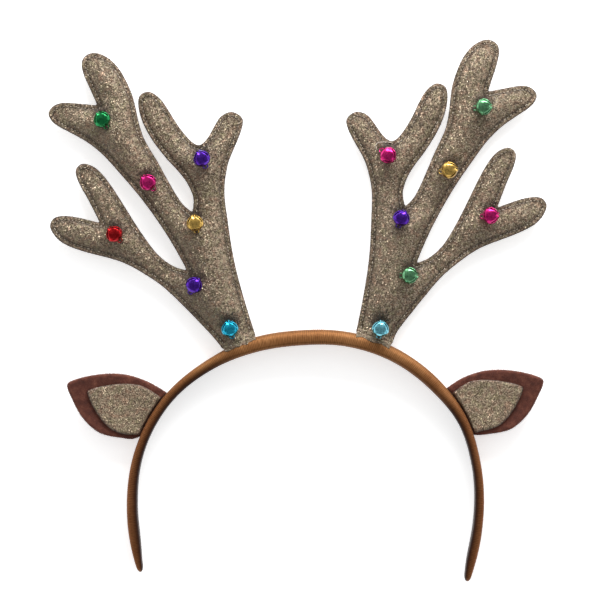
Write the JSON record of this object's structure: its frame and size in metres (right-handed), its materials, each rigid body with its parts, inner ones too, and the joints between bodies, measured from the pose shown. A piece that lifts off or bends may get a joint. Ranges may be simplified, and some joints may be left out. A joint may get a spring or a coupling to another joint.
{
  "type": "reindeer antler headband",
  "caption": "Ribbon-wrapped head arch with two padded glitter antlers, two felt ears and small coloured jingle bells, lying on its back.",
  "frame": {"origin": "back edge of the arch at its crown, midway through its thickness, on the surface that the headband lies on", "axes": "+X across the head towards the picture's right, +Y from the ears up to the antlers, +Z out of the front of the costume"},
  "size_m": [0.2196, 0.2385, 0.0173],
  "materials": {
    "satin_ribbon": "ribbed satin ribbon wound round the arch",
    "glitter_fabric": "champagne glitter cloth",
    "brown_felt": "dark brown felt",
    "bell_turquoise": "shiny coloured metal",
    "bell_violet": "shiny coloured metal",
    "bell_gold": "shiny coloured metal",
    "bell_magenta": "shiny coloured metal",
    "bell_green": "shiny coloured metal",
    "bell_red": "shiny coloured metal",
    "bell_sea_green": "shiny coloured metal"
  },
  "bodies": {
    "root": {"headband": "satin_ribbon", "antler_left": "glitter_fabric", "ear_left_back": "brown_felt", "ear_left_front": "glitter_fabric", "bell_left_1_turquoise": "bell_turquoise", "bell_left_2_violet": "bell_violet", "bell_left_3_gold": "bell_gold", "bell_left_4_violet": "bell_violet", "bell_left_5_magenta": "bell_magenta", "bell_left_6_green": "bell_green", "bell_left_7_red": "bell_red", "antler_right": "glitter_fabric", "ear_right_back": "brown_felt", "ear_right_front": "glitter_fabric", "bell_right_1_turquoise": "bell_turquoise", "bell_right_2_sea_green": "bell_sea_green", "bell_right_3_violet": "bell_violet", "bell_right_4_magenta": "bell_magenta", "bell_right_5_gold": "bell_gold", "bell_right_6_sea_green": "bell_sea_green", "bell_right_7_magenta": "bell_magenta"}
  },
  "joints": []
}
